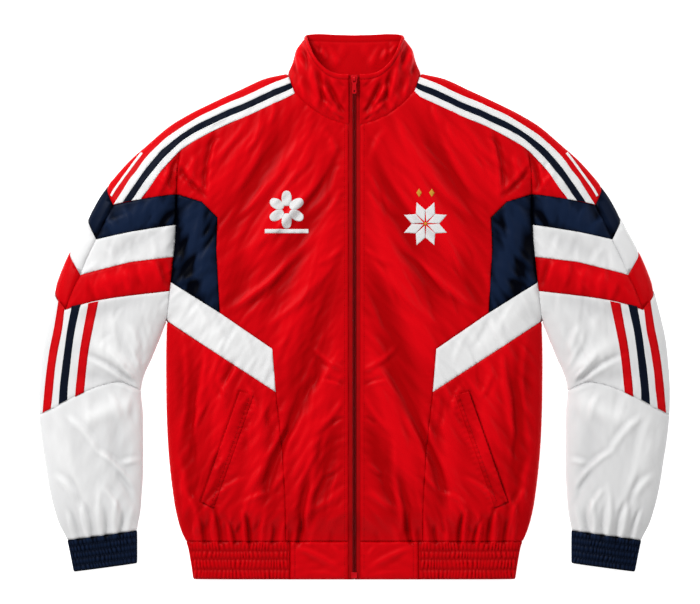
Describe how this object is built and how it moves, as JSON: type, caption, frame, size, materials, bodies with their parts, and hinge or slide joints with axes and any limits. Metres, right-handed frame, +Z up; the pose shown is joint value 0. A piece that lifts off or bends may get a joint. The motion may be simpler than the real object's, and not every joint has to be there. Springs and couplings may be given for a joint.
{
  "type": "track jacket",
  "caption": "Zip-front track jacket laid flat, with stand collar, shoulder tapes, banded sleeves with forearm stripes, angled pockets, gathered cuffs and hem.",
  "frame": {"origin": "under the middle of the jacket as it lies, on the surface it rests on", "axes": "+X towards the wearer's left sleeve, +Y towards the collar, +Z up from the surface"},
  "size_m": [0.8982, 0.7745, 0.0437],
  "materials": {
    "red_cloth": "satin",
    "white_cloth": "satin",
    "navy_cloth": "satin",
    "zip_tape": "matt",
    "zip_metal": "satin"
  },
  "bodies": {
    "jacket": {"front_main_left": "red_cloth", "front_main_right": "red_cloth", "chest_insert_left": "navy_cloth", "chest_insert_right": "navy_cloth", "chest_band_left": "white_cloth", "chest_band_right": "white_cloth", "side_front_left": "red_cloth", "side_front_right": "red_cloth", "pocket_welt_left": "red_cloth", "pocket_welt_right": "red_cloth", "hem_tab_left": "red_cloth", "hem_tab_right": "red_cloth", "saddle_left": "red_cloth", "saddle_right": "red_cloth", "sleeve_cap_left": "red_cloth", "sleeve_cap_right": "red_cloth", "sleeve_back_upper_left": "red_cloth", "sleeve_back_upper_right": "red_cloth", "navy_front_left": "navy_cloth", "navy_front_right": "navy_cloth", "navy_back_left": "navy_cloth", "navy_back_right": "navy_cloth", "white_front_left": "white_cloth", "white_front_right": "white_cloth", "white_back_left": "white_cloth", "white_back_right": "white_cloth", "red_front_left": "red_cloth", "red_front_right": "red_cloth", "red_back_left": "red_cloth", "red_back_right": "red_cloth", "forearm_front_left": "white_cloth", "forearm_front_right": "white_cloth", "forearm_back_left": "white_cloth", "forearm_back_right": "white_cloth", "lower_sleeve_front_left": "white_cloth", "lower_sleeve_front_right": "white_cloth", "lower_sleeve_back_left": "white_cloth", "lower_sleeve_back_right": "white_cloth", "tape_upper_left": "white_cloth", "tape_upper_right": "white_cloth", "tape_middle_left": "navy_cloth", "tape_middle_right": "navy_cloth", "tape_lower_left": "white_cloth", "tape_lower_right": "white_cloth", "stripe_outer_left": "red_cloth", "stripe_outer_right": "red_cloth", "stripe_middle_left": "navy_cloth", "stripe_middle_right": "navy_cloth", "stripe_inner_left": "red_cloth", "stripe_inner_right": "red_cloth", "cuff_left": "navy_cloth", "cuff_right": "navy_cloth", "back": "red_cloth", "hem_elastic": "red_cloth", "collar": "red_cloth", "zip_left": "zip_tape", "zip_right": "zip_tape", "zip_slider": "zip_metal"},
    "pull": {"zip_pull": "zip_metal"}
  },
  "joints": [
    {"name": "pull_hinge", "type": "hinge", "parent": "jacket", "child": "pull", "pos_m": [0, 0.32267, 0.04141], "axis": [-1, 0, 0], "range_deg": [0, 165]}
  ]
}
